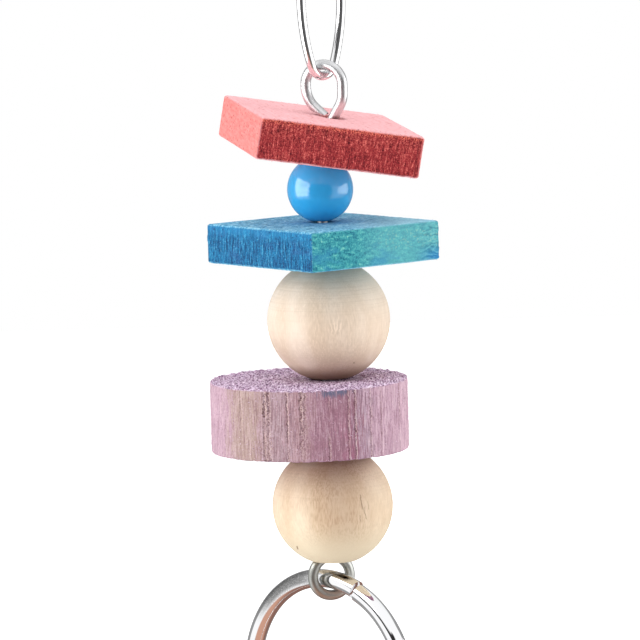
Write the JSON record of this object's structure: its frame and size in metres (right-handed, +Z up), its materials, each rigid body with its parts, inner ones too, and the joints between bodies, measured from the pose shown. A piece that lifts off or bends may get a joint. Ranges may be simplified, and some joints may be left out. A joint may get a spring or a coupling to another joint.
{
  "type": "hanging bird chew toy",
  "caption": "Hanging bird chew toy: coloured wooden blocks, balls, a thick round slice and a bead threaded on a bent wire, with a link above and a large split ring below.",
  "frame": {"origin": "inside top of the hanging link, where the toy is hung", "axes": "+Z up along the straight part of the wire, -Y towards the side seen in the picture"},
  "size_m": [0.0566, 0.0561, 0.2171],
  "materials": {
    "hanging_link": "mirror polished",
    "core_wire": "satin drawn wire",
    "red_block": "red dye: dark rough sawn end grain, paler pink smooth faces",
    "blue_bead": "glossy sky blue",
    "blue_block": "blue and blue-green dye, sawn faces with fibre streaks",
    "upper_ball": "plain turned and sanded wood",
    "purple_disc": "purple dye soaked unevenly into rough fibrous wood",
    "lower_ball": "plain turned and sanded wood",
    "lower_ring": "mirror polished"
  },
  "bodies": {
    "hanging_link": {"hanging_link": "hanging_link"},
    "core_wire": {"core_wire": "core_wire"},
    "red_block": {"red_block": "red_block"},
    "blue_bead": {"blue_bead": "blue_bead"},
    "blue_block": {"blue_block": "blue_block"},
    "upper_ball": {"upper_ball": "upper_ball"},
    "purple_disc": {"purple_disc": "purple_disc"},
    "lower_ball": {"lower_ball": "lower_ball"},
    "lower_ring": {"lower_ring": "lower_ring"}
  },
  "joints": [
    {"name": "toy_swing", "type": "hinge", "parent": "hanging_link", "child": "core_wire", "pos_m": [0, 0, -0.0371], "axis": [0.3584, 0.9336, 0], "range_deg": [-105, 85]},
    {"name": "red_block_spin", "type": "hinge", "parent": "core_wire", "child": "red_block", "pos_m": [-0.00138, 0.00039, -0.06464], "axis": [0.176, -0.0304, 0.9839], "continuous": true},
    {"name": "blue_bead_spin", "type": "hinge", "parent": "core_wire", "child": "blue_bead", "pos_m": [-0.00138, 0.00039, -0.06464], "axis": [0, 0, 1], "continuous": true},
    {"name": "blue_block_spin", "type": "hinge", "parent": "core_wire", "child": "blue_block", "pos_m": [-0.00103, 0.00039, -0.08236], "axis": [0, 0, 1], "continuous": true},
    {"name": "upper_ball_spin", "type": "hinge", "parent": "core_wire", "child": "upper_ball", "pos_m": [-0.00013, 0.00039, -0.0967], "axis": [0, 0, 1], "continuous": true},
    {"name": "purple_disc_spin", "type": "hinge", "parent": "core_wire", "child": "purple_disc", "pos_m": [-0.00103, 0.00039, -0.12844], "axis": [0, 0, 1], "continuous": true},
    {"name": "lower_ball_spin", "type": "hinge", "parent": "core_wire", "child": "lower_ball", "pos_m": [-0.00028, 0.00039, -0.14227], "axis": [0, 0, 1], "continuous": true},
    {"name": "ring_swing", "type": "hinge", "parent": "core_wire", "child": "lower_ring", "pos_m": [-0.00103, 0.00039, -0.1607], "axis": [0.7266, -0.6871, 0], "range_deg": [-130, 130]}
  ]
}
